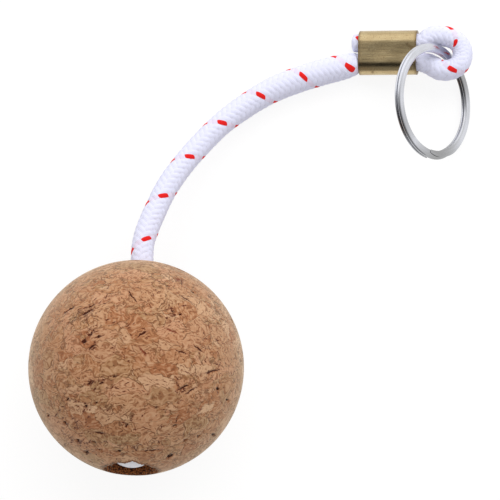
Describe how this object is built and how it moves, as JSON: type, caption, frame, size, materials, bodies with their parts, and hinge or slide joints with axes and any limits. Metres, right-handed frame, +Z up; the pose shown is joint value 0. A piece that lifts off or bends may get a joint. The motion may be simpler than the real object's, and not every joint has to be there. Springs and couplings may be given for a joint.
{
  "type": "cork ball keychain",
  "caption": "Buoyant cork ball on a braided rope, with a crimped brass ferrule, a rope loop and a split ring for keys.",
  "frame": {"origin": "on the floor, under the middle of the box round the ball, the ferrule and the ring", "axes": "+Z up with the keychain lying at rest, +X from the ball's side towards the ring's side, +Y from the ball towards the ferrule"},
  "size_m": [0.1054, 0.1067, 0.05],
  "materials": {
    "cork": "matte",
    "rope": "matte",
    "brass": "satin",
    "steel": "polished"
  },
  "bodies": {
    "ball_and_rope": {"cork_ball": "cork", "rope": "rope", "ferrule": "brass"},
    "ring": {"split_ring": "steel"}
  },
  "joints": [
    {"name": "ring_turn", "type": "hinge", "parent": "ball_and_rope", "child": "ring", "pos_m": [0.04268, 0.03503, 0.01057], "axis": [0.726, 0.0406, 0.6865], "continuous": true}
  ]
}
